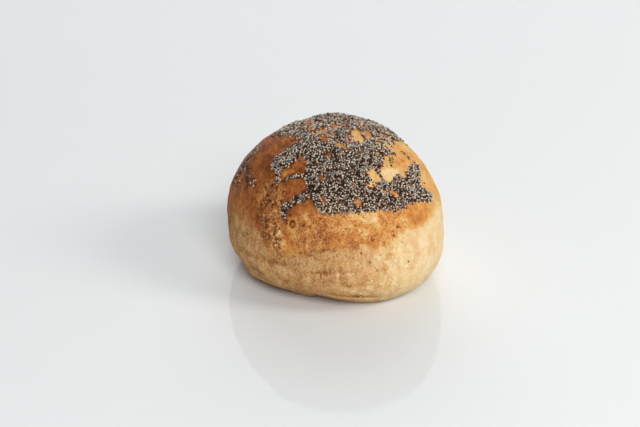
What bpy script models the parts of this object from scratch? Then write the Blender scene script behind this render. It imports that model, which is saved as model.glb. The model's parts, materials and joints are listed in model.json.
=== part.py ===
"""A poppy seed bread roll: one domed, soft-cornered loaf that stands on its baked flat foot.

The roll is a cube rounded to a ball and then shaped by a few baker's facts: how wide its waist is,
how far its foot tucks in, how high it rose, where it swelled in the oven and where its skin was
folded under. Lengths are in millimetres until the last step, which turns them to metres.
The front of the roll faces -Y, and the origin is on the surface it stands on, under its middle.
"""

import math

import bmesh
import bpy
from mathutils import Vector

MM = 0.001

# Driving sizes of the loaf
HEIGHT = 61.7
WAIST_RADIUS = 44.9
WAIST_HEIGHT = 14.5
FOOT_DEPTH = 1.28 * WAIST_HEIGHT  # how deep the underside would reach if the tray were not there
CROWN_FULLNESS = 0.88  # 1 is an ellipse, and less is a fuller shoulder
FOOT_FULLNESS = 0.53
LEAN = Vector((-1.7, -0.2, 0.0))  # how far the top sits from over the foot

# The plan of the waist: (waves round the roll, share of the radius, where the first crest points)
PLAN_WAVES = (
    (2, 0.058, math.radians(121)),
    (3, 0.010, math.radians(67)),
    (4, 0.007, math.radians(43)),
)

# Where the loaf swelled or stayed back in the oven: (azimuth, latitude, outward height)
SWELL_SPREAD = math.radians(24)
SWELLINGS = {
    "left_shoulder": (math.radians(153), math.radians(27), 2.0),
    "right_shoulder": (math.radians(-23), math.radians(33), 3.7),
    "back_shoulder": (math.radians(39), math.radians(54), 2.6),
    "hollow_under_front": (math.radians(-116), math.radians(-45), -3.4),
}

# Where the skin was folded under: (middle azimuth, half length, height at the middle, rise along it, depth)
TUCK_HALF_WIDTH = 2.0
TUCKS = {
    "left_tuck": (math.radians(201), math.radians(26), 8.0, 2.5, 1.1),
    "front_tuck": (math.radians(-73), math.radians(19), 5.2, 0.8, 0.9),
    "back_tuck": (math.radians(75), math.radians(24), 7.0, -1.5, 0.9),
}

# The solid's facets
FACETS_ACROSS = 26
RIM_SNAP = 0.35  # what is nearer the tray than this lies on it, so that the foot's rim has no slivers
CREASE_ANGLE = math.radians(40)

CRUST_COLOUR = (0.52, 0.27, 0.09, 1.0)
CRUST_ROUGHNESS = 0.6


def clear_scene():
    """Removes whatever the file opened with."""
    for obj in list(bpy.data.objects):
        bpy.data.objects.remove(obj)


def turn_between(angle, other):
    """The shortest turn from one azimuth to another, in radians."""
    return math.remainder(angle - other, math.tau)


def waist_radius(azimuth):
    """The roll's reach from its middle at the waist, which is soft-cornered and not quite round."""
    waves = sum(share * math.cos(count * (azimuth - crest)) for count, share, crest in PLAN_WAVES)
    return WAIST_RADIUS * (1 + waves)


def swelling(direction):
    """How far the crust stands out along this direction from the middle."""
    total = 0.0
    for azimuth, latitude, height in SWELLINGS.values():
        axis = Vector(
            (
                math.cos(latitude) * math.cos(azimuth),
                math.cos(latitude) * math.sin(azimuth),
                math.sin(latitude),
            )
        )
        total += height * math.exp(-((direction.angle(axis) / SWELL_SPREAD) ** 2))
    return total


def tuck_depth(azimuth, height):
    """How deep the folded-under skin's crease is at this place on the side."""
    total = 0.0
    for middle, half_length, middle_height, rise, depth in TUCKS.values():
        along = turn_between(azimuth, middle) / half_length
        across = (height - middle_height - rise * along) / TUCK_HALF_WIDTH
        total += depth * math.exp(-(along**4) - across**2)
    return total


def crust_point(direction):
    """The point of the crust that lies in this direction from the middle of the waist."""
    azimuth = math.atan2(direction.y, direction.x)
    sine = max(-1.0, min(1.0, direction.z))
    cosine = math.sqrt(1 - sine**2)
    above = sine >= 0
    reach = waist_radius(azimuth) * cosine ** (CROWN_FULLNESS if above else FOOT_FULLNESS)
    rise = (HEIGHT - WAIST_HEIGHT if above else FOOT_DEPTH) * sine
    point = Vector((reach * math.cos(azimuth), reach * math.sin(azimuth), WAIST_HEIGHT + rise))
    point += swelling(direction) * direction
    inwards = Vector((-math.cos(azimuth), -math.sin(azimuth), 0.0))
    point += tuck_depth(azimuth, point.z) * inwards
    return point + LEAN * (max(point.z, 0.0) / HEIGHT)


def even_ball(mesh):
    """Rounds the gridded cube to a ball whose facets are nearly the same size all over."""
    for vertex in mesh.verts:
        vertex.co = Vector(math.tan(c * math.pi / 4) for c in vertex.co).normalized()


def stand_on_foot(mesh):
    """Cuts the underside level with the tray, so that the roll has a flat foot, and centres it."""
    for vertex in mesh.verts:
        if abs(vertex.co.z) < RIM_SNAP:
            vertex.co.z = 0.0
    everything = mesh.verts[:] + mesh.edges[:] + mesh.faces[:]
    bmesh.ops.bisect_plane(
        mesh, geom=everything, plane_co=(0, 0, 0), plane_no=(0, 0, 1), clear_inner=True
    )
    rim = [edge for edge in mesh.edges if edge.is_boundary]
    bmesh.ops.contextual_create(mesh, geom=rim)
    spans = [sorted(vertex.co[axis] for vertex in mesh.verts) for axis in (0, 1)]
    middle = Vector([(span[0] + span[-1]) / 2 for span in spans] + [0.0])
    bmesh.ops.translate(mesh, verts=mesh.verts, vec=-middle)


def crust_material():
    """Baked crust: golden brown and dull."""
    material = bpy.data.materials.new("baked_crust")
    material.use_nodes = True
    surface = material.node_tree.nodes["Principled BSDF"]
    surface.inputs["Base Color"].default_value = CRUST_COLOUR
    surface.inputs["Roughness"].default_value = CRUST_ROUGHNESS
    surface.inputs["Metallic"].default_value = 0.0
    return material


def make_roll(collection):
    """Builds the whole loaf as one closed solid."""
    mesh = bmesh.new()
    bmesh.ops.create_cube(mesh, size=2.0)
    bmesh.ops.subdivide_edges(mesh, edges=mesh.edges, cuts=FACETS_ACROSS - 1, use_grid_fill=True)
    even_ball(mesh)
    for vertex in mesh.verts:
        vertex.co = crust_point(vertex.co)
    stand_on_foot(mesh)
    bmesh.ops.scale(mesh, verts=mesh.verts, vec=(MM, MM, MM))
    bmesh.ops.recalc_face_normals(mesh, faces=mesh.faces)
    data = bpy.data.meshes.new("roll")
    mesh.to_mesh(data)
    mesh.free()
    data.shade_smooth()
    data.set_sharp_from_angle(angle=CREASE_ANGLE)
    data.materials.append(crust_material())
    roll = bpy.data.objects.new("roll", data)
    collection.objects.link(roll)
    return roll


def main():
    clear_scene()
    collection = bpy.data.collections.new("bread_roll")
    bpy.context.scene.collection.children.link(collection)
    make_roll(collection)


main()
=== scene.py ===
"""The looks of a poppy seed bread roll: its baked crust, the seeds that stick to it and its studio.

The roll's place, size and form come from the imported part. The crust is a fine skin wrapped on that
part, and each seed is a small kidney of its own. Places on the dome are given on a map: degrees to
the right and to the back of the crown, as seen from the middle of the roll's waist. The front of
the roll faces -Y. Small lengths are in millimetres, and MM turns them to metres.
"""

import json  # noqa: E402
import logging  # noqa: E402
import math  # noqa: E402
from collections.abc import Callable  # noqa: E402
from dataclasses import dataclass, field  # noqa: E402
from enum import Enum  # noqa: E402
from itertools import product  # noqa: E402

import bpy  # noqa: E402
import numpy as np  # noqa: E402
from mathutils import Euler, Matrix, Vector, noise  # noqa: E402

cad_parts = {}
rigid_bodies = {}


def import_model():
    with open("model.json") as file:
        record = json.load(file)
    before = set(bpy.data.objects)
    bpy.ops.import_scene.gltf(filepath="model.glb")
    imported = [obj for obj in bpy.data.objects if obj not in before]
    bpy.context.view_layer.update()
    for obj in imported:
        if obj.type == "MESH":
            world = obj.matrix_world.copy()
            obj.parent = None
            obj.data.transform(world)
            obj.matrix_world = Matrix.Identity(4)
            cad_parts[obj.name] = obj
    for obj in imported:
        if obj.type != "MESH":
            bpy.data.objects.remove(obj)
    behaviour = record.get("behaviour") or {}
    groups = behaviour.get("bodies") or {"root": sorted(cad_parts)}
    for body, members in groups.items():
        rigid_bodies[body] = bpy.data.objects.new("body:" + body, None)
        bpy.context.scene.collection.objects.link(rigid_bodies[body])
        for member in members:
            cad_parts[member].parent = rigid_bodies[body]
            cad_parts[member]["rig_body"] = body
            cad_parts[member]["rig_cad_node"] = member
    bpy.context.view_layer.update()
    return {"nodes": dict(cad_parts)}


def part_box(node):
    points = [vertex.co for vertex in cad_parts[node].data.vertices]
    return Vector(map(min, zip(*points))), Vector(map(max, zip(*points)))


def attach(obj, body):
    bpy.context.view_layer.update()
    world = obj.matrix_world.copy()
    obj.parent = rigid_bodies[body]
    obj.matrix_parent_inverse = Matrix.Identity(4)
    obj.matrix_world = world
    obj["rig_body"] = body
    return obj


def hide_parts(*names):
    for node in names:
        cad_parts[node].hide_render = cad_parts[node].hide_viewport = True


LOG = logging.getLogger("bread_roll")
MM = 0.001
BODY = "root"
WAIST_SHARE = 0.234  # the waist's height as a share of the roll's
LEVEL = 1e-7  # metres, within which a point is level with the floor
Point = tuple[float, float]
Place = tuple[float, float, float]
Tree = bpy.types.NodeTree
Socket = bpy.types.NodeSocket


def linear(code: str, alpha: float = 1.0) -> tuple[float, float, float, float]:
    """Turns an sRGB hex colour to the linear colour that a shader takes.

    Args:
        code: The colour as "#RRGGBB".
        alpha: How opaque it is.

    Returns:
        Red, green, blue and alpha.
    """
    shares = [int(code[i : i + 2], 16) / 255 for i in (1, 3, 5)]
    red, green, blue = (s / 12.92 if s <= 0.04045 else ((s + 0.055) / 1.055) ** 2.4 for s in shares)
    return red, green, blue, alpha


def set_inputs(tree: Tree, node: bpy.types.Node, inputs: dict) -> None:
    """Gives the node's sockets their values and links.

    Args:
        tree: The node tree that holds the node.
        node: The node.
        inputs: For a socket's name or number, the value it holds or the output it is linked to.
    """
    for socket, value in inputs.items():
        if isinstance(value, Socket):
            tree.links.new(value, node.inputs[socket])
        else:
            node.inputs[socket].default_value = value


def add_node(tree: Tree, kind: str, inputs: dict | None = None, **settings) -> bpy.types.Node:
    """Adds a node with its settings, values and links.

    Args:
        tree: The node tree that gets it.
        kind: Blender's name for the node.
        inputs: What its sockets hold or are linked to, as set_inputs takes it.
        **settings: The node's own properties.

    Returns:
        The new node.
    """
    node = tree.nodes.new(kind)
    for name, value in settings.items():
        setattr(node, name, value)
    set_inputs(tree, node, inputs or {})
    return node


def add_math(tree: Tree, operation: str, *values: float | Socket, clamp: bool = False) -> Socket:
    """Adds a node that reckons with these values, and gives its result."""
    inputs = dict(enumerate(values))
    return add_node(tree, "ShaderNodeMath", inputs, operation=operation, use_clamp=clamp).outputs[0]


def add_range(tree: Tree, value: Socket, span: Point, ends: Point = (0.0, 1.0), **settings) -> Socket:
    """Adds a node that turns values of this span into ones between the ends, and gives its result."""
    inputs = {"Value": value, "From Min": span[0], "From Max": span[1], "To Min": ends[0], "To Max": ends[1]}
    return add_node(tree, "ShaderNodeMapRange", inputs, **settings).outputs[0]


def add_mix(tree: Tree, share: Socket, first: Socket | tuple, second: Socket | tuple) -> Socket:
    """Adds a node that mixes a share of the second colour into the first, and gives its result."""
    inputs = {"Factor": share, 6: first, 7: second}
    return add_node(tree, "ShaderNodeMix", inputs, data_type="RGBA").outputs[2]


def add_bump(tree: Tree, height: Socket, strength: float, depth: float, **below: Socket) -> Socket:
    """Adds a relief so many mm deep, on top of the Normal given, if any, and gives its normal."""
    inputs = {"Height": height, "Strength": strength, "Distance": depth * MM} | below
    return add_node(tree, "ShaderNodeBump", inputs).outputs[0]


def add_place(tree: Tree, upwards: float = 1.0) -> Socket:
    """Adds nodes for the place on the object in mm, with heights drawn to a share, and gives it."""
    place = add_node(tree, "ShaderNodeTexCoord").outputs["Object"]
    inputs = {"Vector": place, "Scale": (1 / MM, 1 / MM, upwards / MM)}
    return add_node(tree, "ShaderNodeMapping", inputs).outputs[0]


def new_material(name: str) -> tuple[bpy.types.Material, Tree, bpy.types.Node]:
    """Starts a material, and gives it with its node tree and its surface node."""
    material = bpy.data.materials.new(name)
    material.use_nodes = True
    return material, material.node_tree, material.node_tree.nodes["Principled BSDF"]


def smoothstep(low: float, high: float, value: np.ndarray) -> np.ndarray:
    """Rises softly from 0 at low to 1 at high."""
    share = np.clip((value - low) / (high - low), 0.0, 1.0)
    return share * share * (3 - 2 * share)


def activate(obj: bpy.types.Object) -> None:
    """Makes this the only selected object, so that operators act on it alone."""
    bpy.ops.object.select_all(action="DESELECT")
    obj.select_set(True)
    bpy.context.view_layer.objects.active = obj


def apply_modifier(obj: bpy.types.Object, kind: str, **settings) -> None:
    """Adds a modifier with these settings to the object and applies it."""
    activate(obj)
    modifier = obj.modifiers.new(kind.lower(), kind)
    for name, value in settings.items():
        setattr(modifier, name, value)
    bpy.ops.object.modifier_apply(modifier=modifier.name)


def edit_all(obj: bpy.types.Object, operator: Callable, **settings) -> None:
    """Runs an operator with these settings on the whole of the object's mesh."""
    activate(obj)
    bpy.ops.object.mode_set(mode="EDIT")
    bpy.ops.mesh.select_all(action="SELECT")
    operator(**settings)
    bpy.ops.object.mode_set(mode="OBJECT")


def read_points(obj: bpy.types.Object) -> np.ndarray:
    """The object's vertices as rows of x, y and z, in metres."""
    points = np.empty(len(obj.data.vertices) * 3)
    obj.data.vertices.foreach_get("co", points)
    return points.reshape(-1, 3)


def write_points(obj: bpy.types.Object, points: np.ndarray) -> None:
    """Moves the object's vertices to these points."""
    obj.data.vertices.foreach_set("co", points.ravel())
    obj.data.update()


def read_tone(mesh: bpy.types.Mesh, name: str) -> np.ndarray:
    """The values of this name on the mesh's vertices."""
    values = np.empty(len(mesh.vertices))
    mesh.attributes[name].data.foreach_get("value", values)
    return values


def write_tone(mesh: bpy.types.Mesh, name: str, values: np.ndarray) -> None:
    """Keeps these values on the mesh's vertices under this name."""
    tones = mesh.attributes.get(name) or mesh.attributes.new(name, "FLOAT", "POINT")
    tones.data.foreach_set("value", values.astype(np.float32))


def noise_field(points: np.ndarray, grain: float, shift: float = 0.0, upwards: float = 1.0) -> np.ndarray:
    """A soft random field, about -1 to 1, that changes over a given distance.

    Args:
        points: Rows of x, y and z, in metres.
        grain: The distance from one crest to the next, in millimetres.
        shift: How far away the field is read, in metres; each shift gives a field of its own.
        upwards: How much longer the grain is upwards.

    Returns:
        One value for each point.
    """
    scaled = (points + shift) / (grain * MM) / np.array([1.0, 1.0, upwards])
    return np.array([noise.noise(point) for point in scaled.tolist()])


def ripples(points: np.ndarray, layers: tuple[Point, ...]) -> np.ndarray:
    """Adds up soft random fields, each given by its height and its grain in mm."""
    return sum(height * noise_field(points, grain) for height, grain in layers)


def weigh(weights: tuple[float, ...], fields: tuple[np.ndarray, ...], start: float = 0.0) -> np.ndarray:
    """Adds up fields, each by its weight, from a start."""
    return sum((weight * one for weight, one in zip(weights, fields)), start)


def directions(places: np.ndarray) -> np.ndarray:
    """The direction of each place on the dome's map, in degrees from the right to the back."""
    return np.degrees(np.arctan2(places[:, 1], places[:, 0]))


@dataclass(frozen=True)
class DomeMap:
    """The map on which places on the dome are given."""

    middle: Place

    def place(self, points: np.ndarray) -> np.ndarray:
        """Finds points on the map.

        Args:
            points: Rows of x, y and z, in metres.

        Returns:
            Rows of degrees to the right and to the back of the crown.
        """
        rays = points - np.array(self.middle)
        rays = rays / np.linalg.norm(rays, axis=1, keepdims=True)
        from_crown = np.degrees(np.arccos(np.clip(rays[:, 2], -1.0, 1.0)))
        across = np.maximum(np.linalg.norm(rays[:, :2], axis=1, keepdims=True), 1e-9)
        return from_crown[:, None] * rays[:, :2] / across


@dataclass(frozen=True)
class Swath:
    """A rounded strip on the dome's map, from one place to another, in degrees."""

    start: Point
    end: Point
    start_reach: float
    end_reach: float

    def depth(self, places: np.ndarray) -> np.ndarray:
        """How far inside the strip each place lies; less than nothing outside it.

        Args:
            places: Rows of places on the map.

        Returns:
            Degrees in from the strip's edge.
        """
        start, end = np.array((self.start, self.end), dtype=float)
        run = end - start
        along = np.clip((places - start) @ run / max(run @ run, 1e-9), 0.0, 1.0)
        away = np.linalg.norm(places - start - along[:, None] * run, axis=1)
        return self.start_reach + (self.end_reach - self.start_reach) * along - away


def deepest(swaths: dict[str, Swath], places: np.ndarray) -> np.ndarray:
    """How far inside the nearest of these strips each place lies."""
    return np.max([swath.depth(places) for swath in swaths.values()], axis=0)


@dataclass(frozen=True)
class Marks:
    """Marks of one kind on the crust."""

    browning: float  # what they add to it
    edge: Point  # degrees inside them, from where they add nothing to where they add it all
    wobble: float  # degrees by which their edges wander
    swaths: tuple[Swath, ...]


@dataclass(frozen=True)
class Spot:
    """How browned the crust is around one place on the dome's map."""

    place: Point
    browning: float  # 0 is raw cream and 1 is scorched


def named(kind: type, **rows: tuple) -> dict:
    """Makes one thing of this kind from each named row of its values."""
    return {name: kind(*row) for name, row in rows.items()}


def blend(spots: dict[str, Spot], places: np.ndarray, reach: float) -> np.ndarray:
    """Blends the browning of the spots, each of which counts for more the nearer it is.

    Args:
        spots: The spots, by name.
        places: Rows of places on the map.
        reach: How far a spot's say carries, in degrees.

    Returns:
        The browning at each place.
    """
    total, weight = np.zeros(len(places)), np.zeros(len(places))
    for spot in spots.values():
        away = np.linalg.norm(places - np.array(spot.place), axis=1)
        share = np.exp(-((away / reach) ** 2)) + 1e-6 / (1 + away)
        total += share * spot.browning
        weight += share
    return total / weight


def around(values: dict[float, float], azimuths: np.ndarray) -> np.ndarray:
    """Reads off values that are given for some directions round the roll, in degrees."""
    return np.interp(azimuths, list(values), list(values.values()), period=360.0)


@dataclass(frozen=True)
class Crease:
    """A fold low on the side: a groove over a small lip, in degrees round the roll and mm up."""

    start: float
    end: float
    start_height: float
    end_height: float
    depth: float
    half_width: float
    fade: float = 0.12  # the share of its length over which each end runs out
    lip: float = 0.5  # the lip's height as a share of the depth
    lip_place: float = 1.9  # half-widths under the groove

    def profile(self, azimuths: np.ndarray, heights: np.ndarray, wander: np.ndarray) -> np.ndarray:
        """How the crease bends the skin.

        Args:
            azimuths: Each point's direction round the roll, in degrees.
            heights: Each point's height, in mm.
            wander: How far the crease strays from its line at each point, in mm.

        Returns:
            Millimetres outwards, less than nothing in the groove.
        """
        share = (azimuths - self.start) / (self.end - self.start)
        line = self.start_height + (self.end_height - self.start_height) * np.clip(share, 0.0, 1.0)
        across = (heights - line - wander) / self.half_width
        ends = smoothstep(-self.fade, self.fade, share) * smoothstep(1 + self.fade, 1 - self.fade, share)
        lip = self.lip * np.exp(-((across + self.lip_place) ** 2))
        return self.depth * ends * (lip - np.exp(-(across**2)))


# --- Finishes -------------------------------------------------------------------------------------


@dataclass(frozen=True)
class CrustFinish:
    """Baked wheat crust: a thin, dry, browned skin over pale crumb.

    The browned cap is amber to red-brown and has a faint dull gloss, because the starch on it has
    set. The sides stayed pale and dry, with flour on them and flecks of bran. The whole skin is
    pitted by burst bubbles about a millimetre apart.
    """

    # From raw to scorched: how browned it is, and its colour
    cap_tones: tuple[tuple[float, str], ...] = (
        (0.0, "#EBD7AA"),
        (0.22, "#E2BD80"),
        (0.42, "#D59850"),
        (0.6, "#BC7036"),
        (0.78, "#934E24"),
        (1.0, "#4C2208"),
    )
    side_tones: tuple[tuple[float, str], ...] = (
        (0.0, "#F4E0BC"),
        (0.15, "#E9CB98"),
        (0.30, "#D9AD75"),
        (0.44, "#C5945F"),
        (0.62, "#9F6836"),
        (0.85, "#6F3A12"),
    )
    fleck: str = "#F2BB80"
    blush: str = "#D99E78"
    ochre: str = "#D3A552"
    # painted shade in the pits
    pit_shade: str = "#7A3C10"
    bran: str = "#2E1705"
    browned_roughness: float = 0.5
    floury_roughness: float = 0.85
    dull_to_glossy: Point = (0.2, 0.7)  # browning, from floury to browned
    ior: float = 1.45
    gloss: float = 0.08  # the specular level of dry starch
    glint: str = "#FFDCB0"  # what the thin gold skin reflects
    blotch: float = 5.0  # mm
    mottle: float = 2.3  # mm
    grain: float = 1.25  # mm, drawn a little coarser than the real one so that it shows
    fine_share: float = 0.55  # the finest grain's size as a share of the grain's
    vein: float = 1.6  # mm between the light rims of burst bubbles
    vein_width: float = 0.045  # of the noise on each side of its middle value
    fibre: float = 1.3  # mm across a fibre
    fibre_squash: float = 0.22  # a fibre's width as a share of its length
    curls: tuple[float, ...] = (0.0, 0.4, 1.0, 0.8, 0.3)  # of blotches, mottle, grain, fine and fibres
    bran_spacing: float = 3.0  # mm
    bran_edge: Point = (0.13, 0.07)  # of the spacing, from a flake's edge to its full colour
    pore_depth: float = 0.40  # mm
    side_blush: float = 0.25  # how much of the blush and the ochre the pale sides take
    side_ochre: float = 0.22

    def make(self) -> bpy.types.Material:
        """Builds the crust's material.

        Returns:
            The new material, which reads the crust's attributes browning, cap, flecks, pits and specks.
        """
        material, tree, surface = new_material("baked_wheat_crust")
        in_mm, upright = add_place(tree), add_place(tree, self.fibre_squash)
        browning, cap, flecks, pits, specks = (
            add_node(tree, "ShaderNodeAttribute", attribute_name=name).outputs["Fac"]
            for name in ("browning", "cap", "flecks", "pits", "specks")
        )
        sizes = (self.blotch, self.mottle, self.grain, self.grain * self.fine_share, self.fibre)
        blotches, mottle, grain, fine, fibres = (
            self.add_noise(tree, vector, size, Detail=2.0, Roughness=0.6, Distortion=curl)
            for vector, size, curl in zip((in_mm,) * 4 + (upright,), sizes, self.curls)
        )
        bent = self.add_noise(tree, in_mm, self.vein, Detail=1.0, Distortion=0.6)
        off_rim = add_math(tree, "ABSOLUTE", add_math(tree, "SUBTRACT", bent, 0.5))
        veins = add_range(tree, off_rim, (self.vein_width, 0.0))
        crumbly, sandy, lively, often = (
            add_math(tree, "MULTIPLY_ADD", source, gain, least, clamp=True)
            for source, gain, least in (
                (pits, 2.8, 0.0),
                (pits, 0.35, 0.24),
                (browning, 1.8, 0.18),
                (pits, 1.5, -0.1),
            )
        )
        shares = ((blotches, 0.45), (mottle, 0.40), (grain, sandy), (fibres, 0.30), (fine, crumbly))
        unevenness = 0.0
        for pattern, share in shares:
            centred = add_math(tree, "SUBTRACT", pattern, 0.5)
            unevenness = add_math(tree, "MULTIPLY_ADD", centred, share, unevenness)
        tone = add_math(tree, "MULTIPLY_ADD", unevenness, lively, browning)
        side, top = (self.add_ramp(tree, tone, tones) for tones in (self.side_tones, self.cap_tones))
        colour = add_mix(tree, cap, side, top)
        rosy, golden = (
            add_math(tree, "MULTIPLY_ADD", cap, -share, share) for share in (self.side_blush, self.side_ochre)
        )
        for pattern, span, amount, tint in (
            (blotches, (0.50, 0.66), rosy, self.blush),
            (blotches, (0.48, 0.34), golden, self.ochre),
            # The pit colour goes where the grain is low, in the hollows of its relief: painted shade.
            (grain, (0.42, 0.32), pits, self.pit_shade),
            (grain, (0.55, 0.67), flecks, self.fleck),
            (veins, (0.0, 1.3), flecks, self.fleck),
        ):
            share = add_math(tree, "MULTIPLY", add_range(tree, pattern, span), amount)
            colour = add_mix(tree, share, colour, linear(tint))
        bran = add_node(tree, "ShaderNodeTexVoronoi", {"Vector": in_mm, "Scale": 1 / self.bran_spacing})
        flake = add_range(tree, bran.outputs["Distance"], self.bran_edge)
        speck = add_math(tree, "MULTIPLY_ADD", flake, often, specks, clamp=True)
        relief = add_bump(tree, grain, 1.0, self.pore_depth)
        for height, strength in ((fine, 0.7), (fibres, 0.6), (veins, 0.35)):
            relief = add_bump(tree, height, strength, self.pore_depth, Normal=relief)
        roughness = (self.floury_roughness, self.browned_roughness)
        looks = {
            "Base Color": add_mix(tree, speck, colour, linear(self.bran)),
            "Roughness": add_range(tree, tone, self.dull_to_glossy, roughness),
            "Normal": relief,
            "IOR": self.ior,
            "Specular IOR Level": self.gloss,
            "Specular Tint": linear(self.glint),
        }
        set_inputs(tree, surface, looks)
        return material

    @staticmethod
    def add_noise(tree: Tree, vector: Socket, size: float, **inputs: float) -> Socket:
        """Adds a soft pattern of this size in mm, and gives its value."""
        inputs = {"Vector": vector, "Scale": 1 / size} | inputs
        return add_node(tree, "ShaderNodeTexNoise", inputs).outputs["Fac"]

    @staticmethod
    def add_ramp(tree: Tree, value: Socket, stops: tuple[tuple[float, str], ...]) -> Socket:
        """Adds a ramp through these places and hex colours, and gives its colour."""
        ramp = add_node(tree, "ShaderNodeValToRGB", {"Fac": value})
        elements = ramp.color_ramp.elements
        while len(elements) < len(stops):
            elements.new(0.5)
        for element, (place, code) in zip(elements, stops):
            element.position = place
            element.color = linear(code)
        return ramp.outputs["Color"]


@dataclass(frozen=True)
class SeedFinish:
    """Dry poppy seed coat: hard, finely netted and dull, with a greasy glint on its highest ribs."""

    name: str
    light: str
    dark: str
    share: float  # of all the seeds
    roughness: float = 0.30
    ior: float = 1.47
    net: float = 0.25  # mm across a mesh of the coat's net, which is drawn wider than it is to show
    net_strength: float = 0.4
    net_depth: float = 0.03  # mm

    def make(self) -> bpy.types.Material:
        """Builds the seeds' material.

        Returns:
            The new material, on which each seed has a tone of its own.
        """
        material, tree, surface = new_material(self.name)
        tone = add_node(tree, "ShaderNodeAttribute", attribute_name="tone").outputs["Fac"]
        net = add_node(tree, "ShaderNodeTexVoronoi", {"Vector": add_place(tree), "Scale": 1 / self.net})
        looks = {
            "Base Color": add_mix(tree, tone, linear(self.dark), linear(self.light)),
            "Roughness": self.roughness,
            "Normal": add_bump(tree, net.outputs["Distance"], self.net_strength, self.net_depth),
            "IOR": self.ior,
        }
        set_inputs(tree, surface, looks)
        return material


class SeedKind(Enum):
    """The kinds of poppy seed on the roll, by the colour of the coat; the slate and pale coats are partly the
    coat's colour and partly a painted highlight.
    """

    SLATE = SeedFinish("slate_poppy_seed_coat_and_highlight", "#BDB1A3", "#887D71", 0.42)
    PALE = SeedFinish("pale_poppy_seed_coat_and_highlight", "#E2D3BD", "#B8A994", 0.38)
    BROWN = SeedFinish("brown_poppy_seed_coat", "#937B66", "#5E4B39", 0.10)
    BLACK = SeedFinish("black_poppy_seed_coat", "#33271E", "#140D08", 0.10)


@dataclass(frozen=True)
class TableFinish:
    """Polished white stone: pale, cool and smooth enough to mirror the roll faintly."""

    colour: str = "#E0E2E2"
    roughness: float = 0.04
    ior: float = 1.14

    def make(self) -> bpy.types.Material:
        """Builds the table's material.

        Returns:
            The new material.
        """
        material, tree, surface = new_material("polished_white_stone")
        looks = {"Base Color": linear(self.colour), "Roughness": self.roughness, "IOR": self.ior}
        set_inputs(tree, surface, looks)
        return material


# --- The loaf -------------------------------------------------------------------------------------


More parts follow.
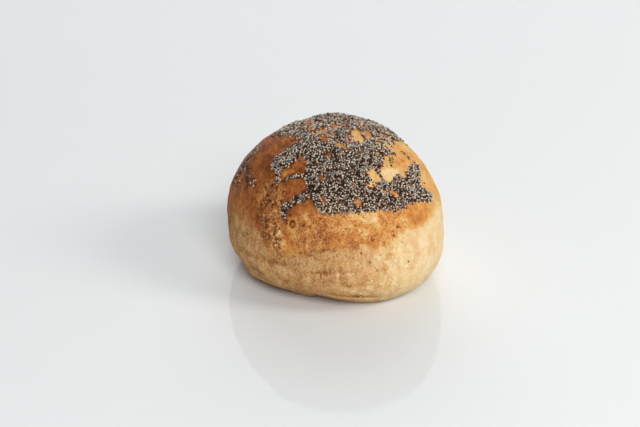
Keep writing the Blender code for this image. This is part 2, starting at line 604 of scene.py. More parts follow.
@dataclass
class Crust:
    """The roll's whole skin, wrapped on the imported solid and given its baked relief."""

    node: bpy.types.Object
    low: Vector
    high: Vector
    finish: CrustFinish = field(default_factory=CrustFinish)
    cuts: int = 33
    halvings: int = 2
    smoothing: int = 16
    weld: float = 0.01  # mm, within which the solid's corners are one
    foot_height: float = 0.02  # mm, below which the skin is the flat foot
    front_lead: float = 1.3  # mm by which the dome's middle is in front of the box's
    spot_reach: float = 13.0  # degrees
    # Where the browned cap ends, in degrees from the crown, and how softly, by direction
    cap_edge: dict[float, float] = field(
        default_factory=lambda: {
            -180: 84, -168: 75, -152: 67, -143: 70.5, -136: 70, -130: 77.5, -118: 78.7, -107: 75,
            -91: 69.7, -81: 69.3, -71: 71.2, -62: 72.5, -56: 68.5, -50: 66.8, -41: 68.2, -34: 65.8,
            0: 63, 60: 69, 120: 75,
        }
    )
    cap_softness: dict[float, float] = field(
        default_factory=lambda: {-180: 9, -150: 5, -132: 1.3, -62: 1.6, -30: 4.5, 90: 6}
    )
    cap_spots: dict[str, Spot] = field(
        default_factory=lambda: named(
            Spot,
            crown=((0, 0), 0.56), left_wedge=((-23, -37), 0.74), front_wedge=((-18, -48), 0.80),
            left_dome=((-30, 2), 0.74), left_temple=((-45, -18), 0.79), left_edge=((-60, 8), 0.67),
            left_face=((-60, -28), 0.62), left_window=((-22, -26), 0.78), ridge=((-38, -42), 0.84),
            knob=((-37, -60), 0.58), front_left=((-20, -61), 0.45), front=((6, -60), 0.55),
            front_right=((26, -57), 0.50), right_corner=((42, -46), 0.46), right_dome=((34, -12), 0.36),
            right_face=((58, -16), 0.34), right_back=((52, 30), 0.42), back=((0, 55), 0.55),
            left_back=((-45, 45), 0.62),
        )
    )
    side_spots: dict[str, Spot] = field(
        default_factory=lambda: named(
            Spot,
            left=((-88, -10), 0.41), left_cheek=((-68, -30), 0.44), left_front=((-75, -52), 0.41),
            # left_foot and right_foot are paler than the crust round them: painted light lifting the shade
            # low at the foot
            front_left=((-45, -82), 0.44), front=((0, -86), 0.47), left_foot=((-40, -98), 0.40),
            front_foot=((12, -108), 0.30), front_right=((42, -82), 0.25), right_foot=((64, -86), 0.02),
            right_front=((72, -55), 0.10), right=((90, -5), 0.04), right_back=((70, 60), 0.12),
            back=((0, 95), 0.22), left_back=((-70, 70), 0.30),
        )
    )
    edge_ripples: tuple[Point, ...] = ((2.2, 8.0), (1.8, 3.2), (0.9, 1.6))  # degrees, and mm apart
    # The nick under the cap, in degrees: how far beyond the edge and how wide, and over which places to
    # the right and to the back it grows from none to all
    nick: Point = (1.4, 0.9)
    nick_right: Point = (30.0, 0.0)
    nick_back: Point = (-40.0, -55.0)
    knob: Swath = Swath((-39.5, -57), (-38, -62), 4.6, 5.2)
    rough_ridge: Swath = Swath((-38, -36), (-41, -54), 10, 9)
    sandy_front: Swath = Swath((-20, -62), (34, -55), 9, 9)
    patch_edge: Point = (-3.0, 4.0)  # degrees inside the ridge and the front, from none to all
    knob_edge: Point = (-0.5, 2.0)  # the same for the knob
    burst_bubble: Point = (-26.7, -55.3)
    bubble_reach: float = 1.5  # degrees
    scorches: Marks = Marks(
        browning=0.13,
        edge=(-0.8, 1.0),
        wobble=0.0,
        swaths=(
            Swath((27.5, -54.5), (29, -55.6), 1.5, 1.1), Swath((22, -64.4), (25.6, -63.7), 1.3, 1.5),
            Swath((29.6, -64.6), (30, -65.4), 1.2, 1), Swath((-6, -67.6), (-3, -67.6), 1.8, 1.4),
            Swath((-12, -62), (-9, -64), 1.4, 1.6),
        ),
    )
    pale_patches: Marks = Marks(
        browning=-0.24,
        edge=(-0.8, 0.8),
        wobble=1.2,
        swaths=(
            Swath((10, -55), (20, -54), 2.2, 3), Swath((-17, -53), (-16, -57), 1.4, 1.4),
            Swath((2, -84), (1.6, -88), 0.7, 0.7), Swath((8, -93), (28, -93.5), 0.9, 1.1),
            Swath((25.6, -31), (29.4, -28), 3.6, 2.2), Swath((18.2, -32.3), (18.4, -34), 2.3, 2.1),
            Swath((21, -34.6), (17.2, -39.4), 1.7, 1.2), Swath((9.6, -6), (11.8, -11), 1.8, 2.2),
            Swath((3, -18.4), (1, -17), 1, 1), Swath((-27, -28.2), (-22, -28.6), 0.8, 1.2),
        ),
    )
    streaks: Marks = Marks(
        browning=0.09,
        edge=(-1.0, 1.2),
        wobble=1.2,
        swaths=(
            Swath((-20, -58), (-20.5, -67), 1.2, 1), Swath((-9, -64.5), (10, -66), 2.2, 1.8),
            Swath((-36, -33), (-44, -36), 3, 3), Swath((-13, -84), (-4, -84.6), 1, 1),
            Swath((-29, -82), (-22, -83.5), 0.8, 0.9), Swath((3, -81.5), (12, -81), 1, 0.8),
            Swath((-4, -97.5), (26, -98), 1.2, 1),
        ),
    )
    # The tray's hot rim left a few orange dabs along the foot
    dabs: Marks = Marks(
        browning=0.22,
        edge=(-1.2, 1.0),
        wobble=0.0,
        swaths=(
            Swath((-80.6, -35.4), (-80, -37), 2, 1.5), Swath((-44.5, -83.1), (-43, -84.5), 2.2, 1.8),
            Swath((40, -96.6), (43, -95.6), 1.6, 1.6), Swath((-80, -54), (-70, -66), 1.8, 1.6),
            Swath((34.3, -69), (34.5, -70), 1.8, 1.2), Swath((34.5, -75.5), (35, -77), 1.6, 1.2),
        ),
    )
    specks: tuple[Point, ...] = (
        (-65.2, -39.3), (-51.2, -52.2), (-24.3, -71.4), (-43.4, -69.4), (-18.5, -82.9), (-10.9, -86.1),
        (33.6, -56.8), (35, -58.7), (35.9, -53.9), (16.8, -72.2), (23.1, -75.7), (50.2, -65.6),
        (29.6, -78.2),
    )
    speck_edge: Point = (0.85, 0.35)  # degrees from its middle, from none to all
    # how much painted shade darkens the nick under the cap
    nick_shade: float = 0.22
    calm_side: Point = (25.0, 60.0)  # degrees to the right, from where the pale side grows even
    # How flecked and pitted the plain skin is, and what the rough ridge, the sandy front, the knob and
    # the rubbed side add
    least_flecks: float = 0.12
    least_pits: float = 0.14
    fleck_shares: tuple[float, ...] = (0.50, 0.45, 0.9, 0.40)
    pit_shares: tuple[float, ...] = (0.50, 0.45, 0.8, 0.36)
    # Where the loaf settled or stayed full beyond the solid's even form: how far out, in mm, and where
    settlings: dict[str, tuple[float, Swath]] = field(
        default_factory=lambda: {
            "left_shoulder": (-1.2, Swath((-50, 18), (-20, 25), 12, 11)),
            "right_shoulder": (-1.6, Swath((19, 25), (44, 20), 11, 12)),
            "left_side": (0.9, Swath((-96, -42), (-88, -60), 7, 7)),
        }
    )
    settling_edge: Point = (-9.0, 7.0)  # degrees inside, from none to all
    # Where the foot spread on the tray: how far, in mm, and where
    spread: tuple[float, Swath] = (2.4, Swath((-84, -76), (-42, -108), 9, 9))
    creases: tuple[Crease, ...] = (
        Crease(-93, -66, 7.6, 5.4, 0.80, 0.70),
        Crease(-104, -80, 17.6, 20, 0.35, 0.60),
        Crease(-87, -72, 12.6, 13.6, 0.30, 0.55),
        Crease(-157, -118, 16, 18.6, 0.45, 1.10),
    )
    # The skin's lumps and crumbs and the creases' wandering, each in mm: how high and how far apart
    lumps: tuple[Point, ...] = ((0.35, 11.0), (0.20, 5.0))
    crumbs: tuple[Point, ...] = ((0.12, 2.6), (0.06, 1.4))
    wander: tuple[Point, ...] = ((0.9, 6.0), (0.6, 2.4))
    lower_crumbs: tuple[Place, ...] = ((0.20, 1.9, 4.0), (0.12, 3.5, 3.0))  # and how far drawn out
    # How high the crumbs stand on the rough ridge, the sandy front and the knob, in mm
    coarse_sand: tuple[float, ...] = (0.32, 0.16)
    fine_sand: tuple[float, ...] = (0.28, 0.14, 0.5)
    knob_height: float = 0.8  # mm
    overhang: float = 0.50  # mm of the cap over the sides
    nick_depth: float = 0.35  # mm
    bubble_depth: float = 0.60  # mm
    rim_width: float = 0.8  # degrees
    lower_side: Point = (70.0, 80.0)  # degrees from the crown, from where the crumbs are drawn out
    foot_fade: Point = (0.3, 3.0)  # mm up, from where the relief begins to where it is whole

    @property
    def dome(self) -> DomeMap:
        """The map of this roll's dome."""
        middle = (self.low + self.high) / 2
        height = self.low.z + WAIST_SHARE * (self.high.z - self.low.z)
        return DomeMap((middle.x, middle.y - self.front_lead * MM, height))

    def solid_copy(self) -> bpy.types.Object:
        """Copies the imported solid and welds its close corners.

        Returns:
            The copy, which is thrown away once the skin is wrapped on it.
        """
        activate(self.node)
        bpy.ops.object.duplicate(linked=False)
        copy = bpy.context.view_layer.objects.active
        copy.parent = None
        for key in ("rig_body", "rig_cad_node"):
            if key in copy:
                del copy[key]
        edit_all(copy, bpy.ops.mesh.remove_doubles, threshold=self.weld * MM)
        return copy

    def fine_ball(self) -> bpy.types.Object:
        """Adds a ball of small, nearly even squares around the roll.

        Returns:
            The ball, as one object at the origin.
        """
        bpy.ops.mesh.primitive_cube_add(size=2.0, location=(0.0, 0.0, 0.0))
        ball = bpy.context.active_object
        ball.name = ball.data.name = "baked_crust"
        edit_all(ball, bpy.ops.mesh.subdivide, number_cuts=self.cuts)
        apply_modifier(ball, "SUBSURF", subdivision_type="SIMPLE", levels=self.halvings)
        rays = np.tan(read_points(ball) * math.pi / 4)
        rays /= np.linalg.norm(rays, axis=1, keepdims=True)
        radius = (self.high - self.low).length / 2
        write_points(ball, rays * radius + np.array((self.low + self.high) / 2))
        return ball

    def wrap(self, skin: bpy.types.Object) -> None:
        """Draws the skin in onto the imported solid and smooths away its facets."""
        copy = self.solid_copy()
        apply_modifier(
            skin,
            "SHRINKWRAP",
            target=copy,
            wrap_method="PROJECT",
            use_negative_direction=True,
            use_positive_direction=False,
        )
        bpy.data.objects.remove(copy)
        apply_modifier(skin, "SMOOTH", factor=0.5, iterations=self.smoothing)

    def find_cap(self, points: np.ndarray) -> tuple[np.ndarray, np.ndarray, np.ndarray]:
        """Tells the browned cap, which overhangs a little, from the pale sides.

        Args:
            points: Rows of x, y and z, in metres.

        Returns:
            For each point, 1 on the cap and 0 on the sides; the same, fading out further down; and
            how deep it is in the nick under the cap.
        """
        places = self.dome.place(points)
        azimuths = directions(places)
        edge = around(self.cap_edge, azimuths) + ripples(points, self.edge_ripples)
        beyond = np.linalg.norm(places, axis=1) - edge
        beyond_share = beyond / around(self.cap_softness, azimuths)
        cap, wash = smoothstep(1.0, -1.0, beyond_share), smoothstep(2.0, -1.0, beyond_share)
        middle, half_width = self.nick
        nick = np.exp(-(((beyond - middle) / half_width) ** 2))
        nick *= smoothstep(0.1, 0.5, 0.3 + noise_field(points, 4.0))
        nick *= smoothstep(*self.nick_right, places[:, 0]) * smoothstep(*self.nick_back, places[:, 1])
        return cap, wash, nick

    def find_patches(self, places: np.ndarray) -> tuple[np.ndarray, np.ndarray, np.ndarray]:
        """How far each place is, from 0 to 1, on the rough ridge, on the sandy front and on the knob."""
        rough = smoothstep(*self.patch_edge, self.rough_ridge.depth(places))
        sandy = smoothstep(*self.patch_edge, self.sandy_front.depth(places))
        return rough, sandy, smoothstep(*self.knob_edge, self.knob.depth(places))

    def off_rim(self, places: np.ndarray) -> np.ndarray:
        """How many degrees each place is outside the burst bubble's rim."""
        return np.linalg.norm(places - np.array(self.burst_bubble), axis=1) - self.bubble_reach

    def relieve(self, skin: bpy.types.Object) -> None:
        """Gives the skin its lumps, folds, blisters and crumbs, and keeps its foot flat."""
        points = read_points(skin)
        normals = np.empty(len(points) * 3)
        skin.data.vertices.foreach_get("normal", normals)
        places, heights = self.dome.place(points), points[:, 2] / MM
        rough, sandy, knob = self.find_patches(places)
        from_crown = np.linalg.norm(places, axis=1)
        swell = ripples(points, self.lumps) + self.knob_height * knob
        for rise, swath in self.settlings.values():
            swell += rise * smoothstep(*self.settling_edge, swath.depth(places))
        reach, swath = self.spread
        reach *= smoothstep(*self.settling_edge, swath.depth(places))
        points[:, :2] += places / from_crown[:, None] * (reach * MM)[:, None]
        cap, _, nick = self.find_cap(points)
        swell += self.overhang * (cap - 0.5) * smoothstep(50.0, 10.0, places[:, 0]) - self.nick_depth * nick
        fine = ripples(points, self.crumbs)
        lower = smoothstep(*self.lower_side, from_crown)
        for height, grain, upwards in self.lower_crumbs:
            fine += lower * height * noise_field(points, grain, upwards=upwards)
        fine += weigh(self.coarse_sand, (rough, sandy)) * noise_field(points, 1.6)
        fine += weigh(self.fine_sand, (rough, sandy, knob)) * noise_field(points, 1.2, shift=1.0)
        wander = ripples(points, self.wander)
        folds = sum(crease.profile(directions(places), heights, wander) for crease in self.creases)
        swell += folds
        swell -= self.bubble_depth * np.exp(-((self.off_rim(places) / self.rim_width) ** 2))
        fade = smoothstep(*self.foot_fade, heights)
        points += normals.reshape(-1, 3) * ((swell + fine) * fade * MM)[:, None]
        points[points[:, 2] < self.foot_height * MM, 2] = 0.0
        write_points(skin, points)
        write_tone(skin.data, "relief", fine * fade)
        write_tone(skin.data, "folds", folds * fade)

    def flatten_foot(self, skin: bpy.types.Object) -> None:
        """Melts the foot's many level faces into one."""
        activate(skin)
        bpy.ops.object.mode_set(mode="EDIT")
        bpy.ops.mesh.select_all(action="DESELECT")
        bpy.ops.object.mode_set(mode="OBJECT")
        heights = read_points(skin)[:, 2]
        for face in skin.data.polygons:
            face.select = all(abs(heights[corner]) < LEVEL for corner in face.vertices)
        bpy.ops.object.mode_set(mode="EDIT")
        bpy.ops.mesh.select_mode(type="FACE")
        bpy.ops.mesh.dissolve_faces()
        bpy.ops.object.mode_set(mode="OBJECT")

    def tone(self, skin: bpy.types.Object) -> None:
        """Says how browned, how flecked, how pitted and how specked each point of the skin is; the browning
        also holds painted light and shade.
        """
        points = read_points(skin)
        relief, folds = read_tone(skin.data, "relief"), read_tone(skin.data, "folds")
        places = self.dome.place(points)
        cap, wash, nick = self.find_cap(points)
        rough, sandy, knob = self.find_patches(places)
        sandy = sandy * cap
        browning = cap * blend(self.cap_spots, places, self.spot_reach)
        browning += (1 - cap) * blend(self.side_spots, places, 2 * self.spot_reach)
        calm = (1 - cap) * smoothstep(*self.calm_side, places[:, 0])
        browning += (0.07 - 0.045 * calm) * noise_field(points, 9.0)
        straw = smoothstep(0.08, 0.32, noise_field(points, 4.2, shift=4.0))
        amber = smoothstep(0.12, 0.40, noise_field(points, 3.4, shift=5.0))
        browning += sandy * (0.09 * amber - 0.13 * straw)
        uneven = noise_field(points, 3.0, shift=6.0, upwards=1.6)
        # The nick under the cap gets painted shade.
        browning += (1 - cap) * (0.10 - 0.06 * calm) * uneven + self.nick_shade * nick
        # Painted light and shade: lighter on the crumbs' crests and the creases' lips, darker in their
        # hollows and grooves.
        browning -= (0.10 + 0.20 * rough + 0.30 * knob) * relief / 0.3 + 0.35 * folds
        wobble = noise_field(points, 2.2, shift=9.0)
        for marks in (self.scorches, self.pale_patches, self.streaks, self.dabs):
            for swath in marks.swaths:
                depth = swath.depth(places) + marks.wobble * wobble
                browning += marks.browning * smoothstep(*marks.edge, depth)
        rim = self.off_rim(places)
        broken = 0.7 + noise_field(points, 1.5)
        browning += 0.50 * broken * np.exp(-((rim / 0.6) ** 2)) - 0.16 * np.exp(-(((rim - 1.5) / 0.7) ** 2))
        on_tray = smoothstep(5.0, 1.5, points[:, 2] / MM + 2.0 * noise_field(points, 5.0))
        browning += 0.08 * on_tray * smoothstep(60.0, 20.0, places[:, 0])
        rubbed = (1 - cap) * smoothstep(62.0, 20.0, places[:, 0])
        patches = (rough, sandy, knob, rubbed)
        spots = np.zeros(len(points))
        for place in self.specks:
            away = np.linalg.norm(places - np.array(place), axis=1)
            spots = np.maximum(spots, smoothstep(*self.speck_edge, away))
        tones = {
            "browning": browning,
            "cap": wash,
            "flecks": weigh(self.fleck_shares, patches, self.least_flecks),
            "pits": weigh(self.pit_shares, patches, self.least_pits),
            "specks": spots,
        }
        for name, values in tones.items():
            write_tone(skin.data, name, np.clip(values, 0.0, 1.0))

    def build(self) -> bpy.types.Object:
        """Makes and dresses the crust.

        Returns:
            The crust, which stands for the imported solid.
        """
        skin = self.fine_ball()
        self.wrap(skin)
        self.relieve(skin)
        self.flatten_foot(skin)
        self.tone(skin)
        activate(skin)
        bpy.ops.object.shade_smooth()
        skin.data.materials.append(self.finish.make())
        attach(skin, BODY)
        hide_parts("roll")
        return skin


@dataclass(frozen=True)
class Layer:
    """One layer of seeds: how close they lie, how high over the crust and how much they lean."""

    spacing: float  # mm
    lift: float  # mm
    lean: float
    tries: int


@dataclass
class PoppySeeds:
    """All the poppy seeds: a dense sprinkling over the crown and the front, with bare windows."""

    crust: bpy.types.Object
    dome: DomeMap
    length: float = 0.88  # mm
    width: float = 0.72  # mm
    thickness: float = 0.64  # mm
    layers: tuple[Layer, ...] = (
        Layer(spacing=0.65, lift=0.10, lean=0.25, tries=140000),
        Layer(spacing=0.70, lift=0.50, lean=0.45, tries=100000),
        Layer(spacing=0.75, lift=0.92, lean=0.60, tries=34000),
    )
    seed: int = 7
    swaths: dict[str, Swath] = field(
        default_factory=lambda: named(
            Swath,
            crown=((-14, 10), (20, 9), 15.5, 15), crown_front=((-6, -6), (16, -4), 13, 13),
            crown_back=((-6, 20), (16, 22), 14, 13), left_lobe=((-12, -16), (-28, -20.5), 7, 5.3),
            left_tongue=((-30.2, -25), (-29.6, -30.5), 1.7, 1.3),
            left_thread=((-29, -31.8), (-15, -32.8), 1, 0.9),
            middle=((-3, -18), (-2.5, -38), 12.5, 13.5), front=((-2, -44), (14, -42), 11, 11),
            right_middle=((14, -16), (13, -28), 13, 9.5),
            right_front=((14, -42), (30, -39.8), 10.5, 8.2),
            right_corner=((34, -35.5), (50.5, -29.3), 7.4, 2.6),
            right_cluster=((40.5, -16.5), (39.5, -26), 2.6, 4.6),
            front_tongue=((-14, -43), (-29, -45.3), 2.5, 1.8),
            front_tail=((-30, -46), (-30.5, -49.5), 2.1, 1.3), back_tongue=((4, 34), (10, 47), 8, 3.5),
            back_right=((26, 20), (36, 27), 8, 4),
        )
    )
    bare: dict[str, Swath] = field(
        default_factory=lambda: named(
            Swath,
            crown_window=((9.6, -5.6), (11.4, -11), 2.3, 2.7),
            crown_nick=((15.6, -4.6), (16, -8), 1.3, 1.4), crown_crack=((4, -19), (0.5, -16.2), 1, 1.1),
            right_window=((31.3, -11), (31.5, -24), 2.7, 3.5),
            right_slope=((23.5, -12.8), (30, -9.5), 1.2, 2.3),
            right_ring=((24.6, -21), (25, -24), 1.2, 1.3),
            right_patch=((25.8, -31), (30, -27.4), 3.4, 1.8),
            front_slot=((18.2, -32.3), (18.4, -34), 2, 1.8),
            front_slot_tail=((21, -34.6), (17.2, -39.4), 1.5, 1),
            left_window=((-17.3, -24.3), (-17, -28.2), 2.3, 2.4),
            left_window_arm=((-19, -28.6), (-27.4, -28.2), 1.8, 1.1),
            left_gap=((-13, 9), (-11.5, 5), 1.4, 1.2), crown_gap=((-6, -3), (-5.4, -7), 1.3, 1.1),
            pink_gap=((-6.3, -11), (-5, -13.6), 1.2, 1.2),
            upper_gap=((-3.3, -24), (-2.8, -25), 1.1, 0.9),
            middle_gap=((-7.6, -36), (-6.8, -36.4), 1, 0.9),
            lower_gap=((-6.6, -46.8), (-5.8, -47.6), 1.2, 1.1),
            front_gap=((10.3, -48.2), (12.6, -48.8), 1.1, 1.3),
            corner_gap=((28.8, -39.3), (32, -39.9), 0.8, 0.9), back_gap=((-2, 26), (4, 29), 2.6, 2),
        )
    )
    banks: dict[str, Swath] = field(
        default_factory=lambda: named(
            Swath,
            left_bank=((-12, -28), (-9, -50), 3.5, 3.5), tongue_bank=((-30, -19), (-24, -22), 3.5, 3),
            front_bank=((-1, -36), (11, -42), 3.5, 3.5), right_bank=((24, -41), (44, -31), 3.5, 3.5),
        )
    )
    strays: dict[str, Swath] = field(
        default_factory=lambda: named(
            Swath,
            right_arc=((33.8, -11.4), (37.6, -14), 1.4, 1.2),
            right_ring=((27, -20.5), (27.2, -25), 1.2, 1.1),
            slot_ring=((15.8, -36.4), (18.3, -36.8), 1.6, 1.3),
            left_sprinkle=((-50, -14), (-47, -19), 4, 2.6),
            left_streak=((-50, -2), (-47.5, -9), 2.2, 1.6), left_shoulder=((-42, 6), (-54, 10), 3, 4),
            left_edge=((-54, 4), (-62, 6), 3.4, 2.6), left_edge_foot=((-56, -7), (-59, -4), 2, 2),
            tail_end=((-30.2, -52), (-29.4, -53.6), 0.9, 0.9), slope=((20, -12), (27, -16), 4, 2.5),
        )
    )
    stray_chance: float = 0.22
    lone_chance: float = 0.004
    # Where the random field is over the first there is a hole, and under the second there is none
    hole_edge: Point = (0.78, 0.66)
    crown_edge: Point = (-24.0, -10.0)  # degrees back, from where there are more holes
    thinning: float = 0.30  # what that takes off both
    dent: float = 0.12  # how deep a seed is dented, as a share of its width
    hump: float = 0.35  # how far its back is humped, as a share of the dent
    jitter: float = 0.07  # mm up and down
    size_spread: float = 0.07
    lone_dark: float = 0.75  # the share of black ones among the seeds that lie alone on the crust
    open_dark: float = 0.06  # the same where no seeds are heaped on them
    buried_shade_dark: float = 0.72  # and what heaped seeds add: black seeds under a heap are painted shade
    brown_edge: Point = (-24.0, -8.0)  # degrees back, from where more seeds are brown
    brown_chance: float = 0.28
    hollow_shade_edge: Point = (0.02, 0.36)  # of the random field, from no hollow to a full one, where black seeds are painted shade
    hollow_shade_chance: float = 0.38

    def model_seed(self) -> bpy.types.Object:
        """Models one seed: a small kidney, dented where it hung in the pod.

        Returns:
            The seed, lying along X at the origin.
        """
        bpy.ops.mesh.primitive_uv_sphere_add(segments=6, ring_count=5, radius=0.5)
        one = bpy.context.active_object
        size = (self.width * MM, self.thickness * MM, self.length * MM)
        edit_all(one, bpy.ops.transform.resize, value=size)
        points = read_points(one)
        points = points[:, [2, 0, 1]]
        side = points[:, 1] / (self.width * MM / 2)
        middle = 1 - np.abs(points[:, 0]) / (self.length * MM / 2)
        bend = np.where(side < -0.4, -1.0, self.hump) * np.clip(middle, 0, 1)
        points[:, 1] -= bend * self.dent * self.width * MM
        write_points(one, points)
        return one

    def cover(self, points: np.ndarray, layer: int) -> np.ndarray:
        """How likely a seed is to stick at each point.

        Args:
            points: Rows of x, y and z, in metres.
            layer: Which layer it is in, from 0 on the crust.

        Returns:
            Chances from 0 to 1.
        """
        places = self.dome.place(points)
        wobble = 0.7 * noise_field(points, 3.2) + 0.8 * noise_field(points, 1.5, shift=1.0)
        depth = np.minimum(deepest(self.swaths, places), -deepest(self.bare, places)) + wobble
        thin = smoothstep(*self.crown_edge, places[:, 1])
        holes = noise_field(points, 2.4, shift=7.0) + 0.7 * noise_field(points, 1.2, shift=8.0)
        filled = smoothstep(*(edge - self.thinning * thin for edge in self.hole_edge), holes)
        if layer == 0:
            lone = smoothstep(-5.0, -1.0, depth) * self.lone_chance
            loose = smoothstep(-0.5, 1.0, deepest(self.strays, places)) * self.stray_chance
            return np.maximum(smoothstep(-0.4, 0.4, depth) * filled, np.maximum(loose, lone))
        bank = smoothstep(-1.0, 2.0, deepest(self.banks, places))
        heap = 0.5 * noise_field(points, 5.5, shift=2.0) + 0.3 * noise_field(points, 2.5, shift=3.0)
        heap += 0.4 * bank + (0.45 if layer == 1 else -0.35) - 0.42 * thin
        return smoothstep(-0.05, 0.1, heap) * smoothstep(0.3 * layer, 0.9 * layer, depth) * filled

    def sow(self, number: int, rng: np.random.Generator) -> tuple[np.ndarray, np.ndarray]:
        """Chooses where the seeds of one layer lie, none closer to another than its spacing.

        Args:
            number: Which layer it is, from 0 on the crust.
            rng: The source of chance.

        Returns:
            Points on the crust and the crust's normals there.
        """
        layer = self.layers[number]
        mesh = self.crust.data
        mesh.calc_loop_triangles()
        corners = np.empty(len(mesh.loop_triangles) * 3, dtype=np.int64)
        mesh.loop_triangles.foreach_get("vertices", corners)
        triangles = read_points(self.crust)[corners.reshape(-1, 3)]
        cross = np.cross(triangles[:, 1] - triangles[:, 0], triangles[:, 2] - triangles[:, 0])
        area = np.linalg.norm(cross, axis=1)
        upper = triangles[:, :, 2].mean(axis=1) > self.dome.middle[2]
        weights = np.where(upper, area, 0.0)
        chosen = rng.choice(len(triangles), layer.tries, p=weights / weights.sum())
        first, second = rng.random(layer.tries), rng.random(layer.tries)
        flip = first + second > 1
        first, second = np.where(flip, 1 - first, first), np.where(flip, 1 - second, second)
        base = triangles[chosen]
        points = base[:, 0] + first[:, None] * (base[:, 1] - base[:, 0])
        points += second[:, None] * (base[:, 2] - base[:, 0])
        normals = cross[chosen] / area[chosen][:, None]
        sticks = self.cover(points, number) > rng.random(layer.tries)
        points, normals = points[sticks], normals[sticks]
        kept = self.spread_out(points, layer.spacing * MM)
        return points[kept] + normals[kept] * layer.lift * MM, normals[kept]

    def spread_out(self, points: np.ndarray, cell: float) -> list[int]:
        """Keeps, in order, each point that is far enough from all kept before it.

        Args:
            points: Rows of x, y and z, in metres.
            cell: How far apart they are kept, in metres.

        Returns:
            The numbers of the kept points.
        """
        grid: dict[tuple[int, int, int], list[int]] = {}
        kept = []
        steps = list(product((-1, 0, 1), repeat=3))
        cells = np.floor(points / cell).astype(int)
        rows = points.tolist()
        for number, (x, y, z) in enumerate(rows):
            home = cells[number]
            near = (
                other
                for step in steps
                for other in grid.get((home[0] + step[0], home[1] + step[1], home[2] + step[2]), ())
            )
            if all(
                (x - rows[o][0]) ** 2 + (y - rows[o][1]) ** 2 + (z - rows[o][2]) ** 2 >= cell * cell
                for o in near
            ):
                grid.setdefault(tuple(home), []).append(number)
                kept.append(number)
        return kept

    def paint_shade_between_seeds(self) -> None:
        """Paints shade on the crust between close seeds, where little light gets in."""
        points = read_points(self.crust)
        browning = read_tone(self.crust.data, "browning")
        browning += (0.12 + 0.40 * self.cover(points, 1)) * smoothstep(0.2, 0.9, self.cover(points, 0))
        write_tone(self.crust.data, "browning", np.clip(browning, 0.0, 1.0))

    def build(self) -> list[bpy.types.Object]:
        """Makes one piece of all the seeds of each kind.

        Returns:
            The pieces.
        """
        self.paint_shade_between_seeds()
        rng = np.random.default_rng(self.seed)
        sown = [self.sow(number, rng) for number in range(len(self.layers))]
        points, normals = (np.concatenate(parts) for parts in zip(*sown))
        layers = np.repeat(np.arange(len(sown)), [len(found) for found, _ in sown])
        points += normals * rng.normal(0.0, self.jitter * MM, len(points))[:, None]
        count = len(points)
        frames = self.lay(normals, layers, rng)
        sizes = rng.normal(1.0, self.size_spread, count)
        kinds = list(SeedKind)
        draw = rng.choice(len(kinds), count, p=[kind.value.share for kind in kinds])
        hidden, crowded = self.cover(points, 1), self.cover(points, 0)
        # Under heaped seeds the bed's seeds turn black: painted shade between the top seeds.
        dark = np.where(crowded < 0.5, self.lone_dark, self.open_dark + self.buried_shade_dark * hidden)
        bed = (layers == 0) & (rng.random(count) < dark)
        draw[bed] = kinds.index(SeedKind.BLACK)
        high = smoothstep(*self.brown_edge, self.dome.place(points)[:, 1])
        draw[~bed & (rng.random(count) < self.brown_chance * high)] = kinds.index(SeedKind.BROWN)
        # Black seeds in patches of a random field are painted shade, standing for hollows in the seed bed.
        shaded = smoothstep(*self.hollow_shade_edge, noise_field(points, 2.0, shift=11.0)) * (1 - 0.5 * high)
        draw[~bed & (rng.random(count) < self.hollow_shade_chance * shaded)] = kinds.index(SeedKind.BLACK)
        tones = rng.random(count)
        one = self.model_seed()
        pieces = []
        for number, kind in enumerate(kinds):
            mine = draw == number
            piece = self.join(one, kind, points[mine], frames[mine] * sizes[mine][:, None, None], tones[mine])
            pieces.append(piece)
        bpy.data.objects.remove(one)
        return pieces

    def lay(self, normals: np.ndarray, layers: np.ndarray, rng: np.random.Generator) -> np.ndarray:
        """Turns each seed to lie on the crust with a chance heading and tilt.

        Args:
            normals: The crust's normal under each seed.
            layers: Which layer each seed is in; those on top lean more.
            rng: The source of chance.

        Returns:
            A 3 by 3 turn for each seed.
        """
        count = len(normals)
        lean = np.array([layer.lean for layer in self.layers])[layers]
        up = normals + rng.normal(0.0, 1.0, (count, 3)) * lean[:, None]
        up /= np.linalg.norm(up, axis=1, keepdims=True)
        heading = rng.normal(0.0, 1.0, (count, 3))
        along = np.cross(up, heading)
        along /= np.linalg.norm(along, axis=1, keepdims=True)
        across = np.cross(up, along)
        return np.stack([along, across, up], axis=2)

    def join(
        self,
        one: bpy.types.Object,
        kind: SeedKind,
        points: np.ndarray,
        frames: np.ndarray,
        tones: np.ndarray,
    ) -> bpy.types.Object:
        """Copies the seed to each place, all in one mesh.

        Args:
            one: The modelled seed.
            kind: Which kind of seed the copies are.
            points: Where each copy's middle is.
            frames: Each copy's turn and size.
            tones: How light each copy is, from 0 to 1.

        Returns:
            The piece, dressed and riding on the roll.
        """
        shape = read_points(one)
        copies = np.einsum("nij,vj->nvi", frames, shape) + points[:, None, :]
        # sorted, because the order of a new ball's faces varies from run to run
        faces = sorted(tuple(face.vertices) for face in one.data.polygons)
        corners = [
            tuple(start + corner for corner in face)
            for start in range(0, len(points) * len(shape), len(shape))
            for face in faces
        ]
        mesh = bpy.data.meshes.new(f"poppy_seeds_{kind.name.lower()}")
        mesh.from_pydata(copies.reshape(-1, 3), (), corners, shade_flat=False)
        write_tone(mesh, "tone", np.repeat(tones, len(shape)))
        mesh.materials.append(kind.value.make())
        piece = bpy.data.objects.new(mesh.name, mesh)
        bpy.context.scene.collection.objects.link(piece)
        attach(piece, BODY)
        triangles = len(points) * sum(len(face) - 2 for face in faces)
        LOG.info("%s: %d seeds, %d triangles", piece.name, len(points), triangles)
        return piece


# --- The studio -----------------------------------------------------------------------------------


@dataclass(frozen=True)
class Softbox:
    """One soft rectangular light, in metres and watts."""

    place: Place
    size: Point
    power: float
    colour: str


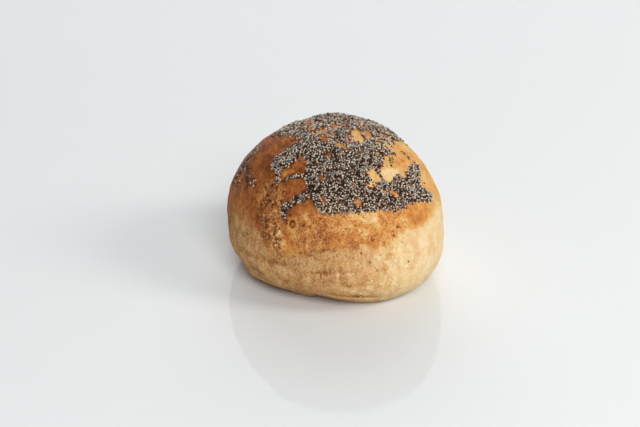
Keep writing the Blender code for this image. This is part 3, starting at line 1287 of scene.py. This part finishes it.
@dataclass
class Studio:
    """The pale table, the soft lights and the camera."""

    table: TableFinish = field(default_factory=TableFinish)
    table_size: float = 6.0
    softboxes: dict[str, Softbox] = field(
        default_factory=lambda: named(
            Softbox,
            side_light=((1.0, -0.30, 0.70), (0.4, 0.4), 6.2, "#FFFBF3"),
            front_light=((0.32, -1.47, 1.18), (1.0, 0.8), 24.5, "#FCFDFF"),
        )
    )
    light_aim: Place = (0.0, 0.0, 0.02)
    camera_place: Place = (-0.0060, -0.6574, 0.3349)
    camera_tilt: float = 64.62  # degrees from straight down
    lens: float = 100.0
    room_colour: str = "#FBFDFF"
    room_brightness: float = 0.245
    window_brightness: float = 2.8  # what the bright window behind adds
    window_height: float = 25.0  # degrees over the horizon
    window_reach: float = 34.0  # degrees from its middle to where it has faded out

    def add_table(self) -> bpy.types.Object:
        """Lays the table under the roll.

        Returns:
            The table.
        """
        bpy.ops.mesh.primitive_plane_add(size=self.table_size)
        table = bpy.context.active_object
        table.name = "table"
        table.data.materials.append(self.table.make())
        return table

    def add_softbox(self, name: str, softbox: Softbox) -> None:
        """Adds one soft light, which faces the roll.

        Args:
            name: The light's name.
            softbox: Its place, size, power and colour.
        """
        light = bpy.data.lights.new(name, "AREA")
        light.shape = "RECTANGLE"
        light.size, light.size_y = softbox.size
        light.energy = softbox.power
        light.color = linear(softbox.colour)[:3]
        lamp = bpy.data.objects.new(name, light)
        lamp.location = softbox.place
        backwards = Vector(softbox.place) - Vector(self.light_aim)
        lamp.rotation_euler = backwards.to_track_quat("Z", "Y").to_euler()
        bpy.context.scene.collection.objects.link(lamp)

    def add_surroundings(self) -> None:
        """Surrounds the table with a plain white room that has a bright window behind."""
        world = bpy.data.worlds.new("white_room")
        world.use_nodes = True
        tree = world.node_tree
        height = math.radians(self.window_height)
        direction = add_node(tree, "ShaderNodeTexCoord").outputs["Generated"]
        inputs = {0: direction, 1: (0.0, math.cos(height), math.sin(height))}
        facing = add_node(tree, "ShaderNodeVectorMath", inputs, operation="DOT_PRODUCT").outputs["Value"]
        span = (math.cos(math.radians(self.window_reach)), 1.0)
        ends = (self.room_brightness, self.room_brightness + self.window_brightness)
        strength = add_range(tree, facing, span, ends, interpolation_type="SMOOTHSTEP")
        light = {"Color": linear(self.room_colour), "Strength": strength}
        set_inputs(tree, tree.nodes["Background"], light)
        bpy.context.scene.world = world

    def add_camera(self) -> None:
        """Sets the camera, which looks down at the roll's front."""
        data = bpy.data.cameras.new("camera")
        data.lens = self.lens
        camera = bpy.data.objects.new("camera", data)
        camera.location = self.camera_place
        camera.rotation_euler = Euler((math.radians(self.camera_tilt), 0.0, 0.0))
        bpy.context.scene.collection.objects.link(camera)
        bpy.context.scene.camera = camera

    def build(self) -> None:
        """Sets up the whole studio."""
        self.add_table()
        self.add_surroundings()
        for name, softbox in self.softboxes.items():
            self.add_softbox(name, softbox)
        self.add_camera()
        bpy.context.scene.view_settings.view_transform = "Standard"


def main() -> None:
    """Builds the roll and its studio, and reports each piece."""
    logging.basicConfig(level=logging.INFO, format="%(name)s: %(message)s")
    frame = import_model()
    low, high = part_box("roll")
    crust = Crust(frame["nodes"]["roll"], low, high)
    skin = crust.build()
    LOG.info("%s: %d triangles", skin.name, sum(len(face.vertices) - 2 for face in skin.data.polygons))
    PoppySeeds(skin, crust.dome).build()
    Studio().build()


if __name__ == "__main__":
    main()
